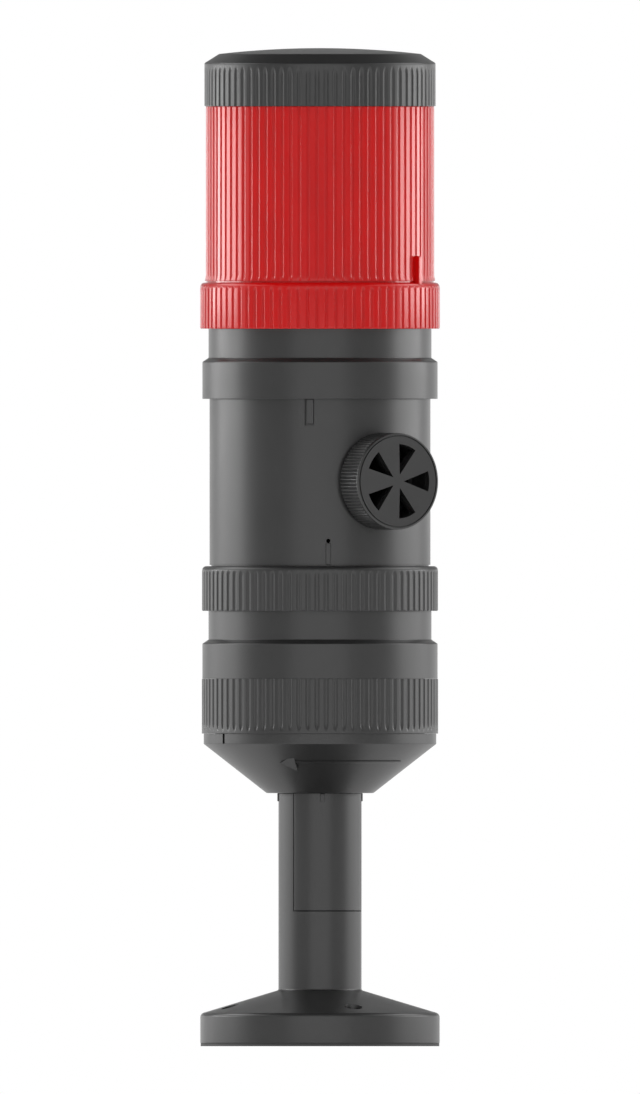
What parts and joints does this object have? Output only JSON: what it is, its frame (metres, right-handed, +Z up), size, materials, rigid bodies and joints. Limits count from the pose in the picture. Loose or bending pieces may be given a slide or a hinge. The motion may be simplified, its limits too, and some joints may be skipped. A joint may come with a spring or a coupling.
{
  "type": "stack light",
  "caption": "Modular signal tower: round foot and tube, cone adapter with knurled lock ring, terminal element, siren with volume knob, ribbed red light and domed cap.",
  "frame": {"origin": "centre of the mounting face under the gasket, on the tower's axis", "axes": "+Z up along the tower, -Y to the front with the raised arrow and the alignment marks, +X to the right of someone who looks at the front"},
  "size_m": [0.07, 0.0772, 0.2919],
  "materials": {
    "black_housing": "black moulded plastic with a fine satin texture",
    "red_lens": "transparent red plastic, glossy",
    "gasket_rubber": "matt black rubber",
    "zinc_plated_steel": "bright zinc plating",
    "spring_steel": "dull spring steel",
    "contact_brass": "tinned brass strip",
    "circuit_board": "green solder mask",
    "terminal_plastic": "light grey moulding",
    "lamp_resin": "clear lamp resin"
  },
  "bodies": {
    "base": {"mounting_foot": "black_housing", "foot_gasket": "gasket_rubber", "tube_cover": "black_housing", "tube_seal": "gasket_rubber", "adapter_cone": "black_housing", "tube_nut": "zinc_plated_steel", "lock_seal": "gasket_rubber", "terminal_housing": "black_housing", "terminal_board": "circuit_board", "terminal_block_front": "terminal_plastic", "terminal_block_rear": "terminal_plastic", "terminal_screws": "zinc_plated_steel", "terminal_pins": "contact_brass", "terminal_pin_carrier": "terminal_plastic", "terminal_neck_seal": "gasket_rubber"},
    "lock_ring": {"lock_ring": "black_housing"},
    "siren": {"siren_base": "black_housing", "siren_housing": "black_housing", "siren_collar": "black_housing", "siren_board": "circuit_board", "siren_sounder": "black_housing", "sound_duct": "black_housing", "outlet_baffle": "black_housing", "siren_bus_bars": "contact_brass", "siren_pin_carrier": "terminal_plastic", "siren_contact_plate": "circuit_board", "siren_neck_seal": "gasket_rubber"},
    "volume_knob": {"volume_knob": "black_housing", "knob_clip": "spring_steel"},
    "light": {"light_base": "black_housing", "light_contact_plate": "circuit_board", "led_column": "black_housing", "led_boards": "circuit_board", "leds": "lamp_resin", "lens": "red_lens", "light_collar": "black_housing", "cap_seal": "gasket_rubber"},
    "cap": {"end_cap": "black_housing"}
  },
  "joints": [
    {"name": "lock_ring_turn", "type": "hinge", "parent": "base", "child": "lock_ring", "pos_m": [0, 0, 0.0994], "axis": [0, 0, 1], "range_deg": [0, 30]},
    {"name": "siren_twist", "type": "hinge", "parent": "base", "child": "siren", "pos_m": [0, 0, 0.1273], "axis": [0, 0, 1], "range_deg": [0, 30]},
    {"name": "volume_turn", "type": "hinge", "parent": "siren", "child": "volume_knob", "pos_m": [0.02064, -0.03155, 0.1652], "axis": [0.5476, -0.8368, 0], "range_deg": [0, 36]},
    {"name": "light_twist", "type": "hinge", "parent": "siren", "child": "light", "pos_m": [0, 0, 0.2098], "axis": [0, 0, 1], "range_deg": [0, 30]},
    {"name": "cap_twist", "type": "hinge", "parent": "light", "child": "cap", "pos_m": [0, 0, 0.2749], "axis": [0, 0, 1], "range_deg": [0, 30]}
  ]
}
